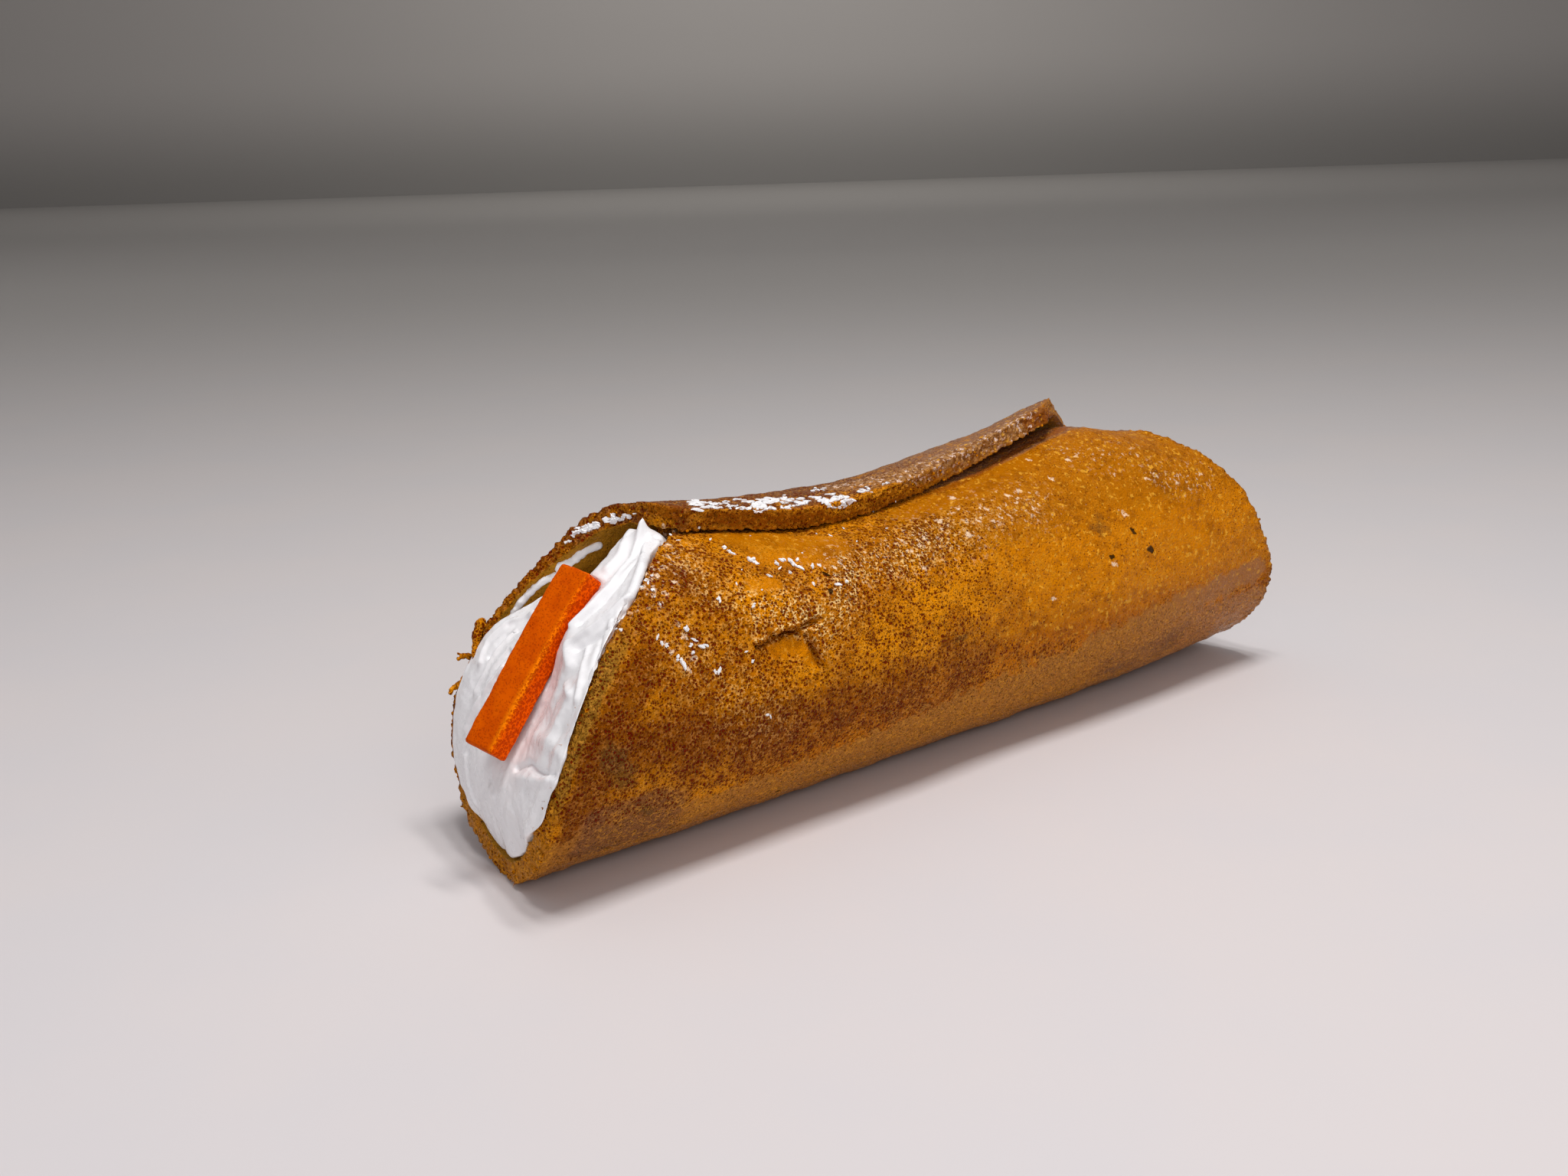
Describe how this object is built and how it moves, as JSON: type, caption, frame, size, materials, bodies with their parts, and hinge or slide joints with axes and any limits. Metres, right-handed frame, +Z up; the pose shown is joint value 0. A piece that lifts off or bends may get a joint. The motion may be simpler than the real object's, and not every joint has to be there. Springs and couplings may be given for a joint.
{
  "type": "foam replica cannoli",
  "caption": "Cannoli made as a foam replica: a pored foam sheet rolled into a tube with a lifted flap, a white cream filling from mouth to mouth and a peel strip lying on it.",
  "frame": {"origin": "middle of the base, on the surface that the roll rests on", "axes": "+X along the roll from the mouth with the strip to the plain mouth, +Z up, +Y towards the side that the flap comes from"},
  "size_m": [0.1585, 0.0408, 0.0524],
  "materials": {
    "foam_crust": "open-celled foam skin, ochre with dark pores and a patchy glazed coat",
    "whipped_cream": "smooth white paste with spatula folds, slightly glossy",
    "peel_foam": "cut foam with fine cells"
  },
  "bodies": {
    "root": {"shell": "foam_crust", "cream": "whipped_cream", "peel_strip": "peel_foam"}
  },
  "joints": []
}
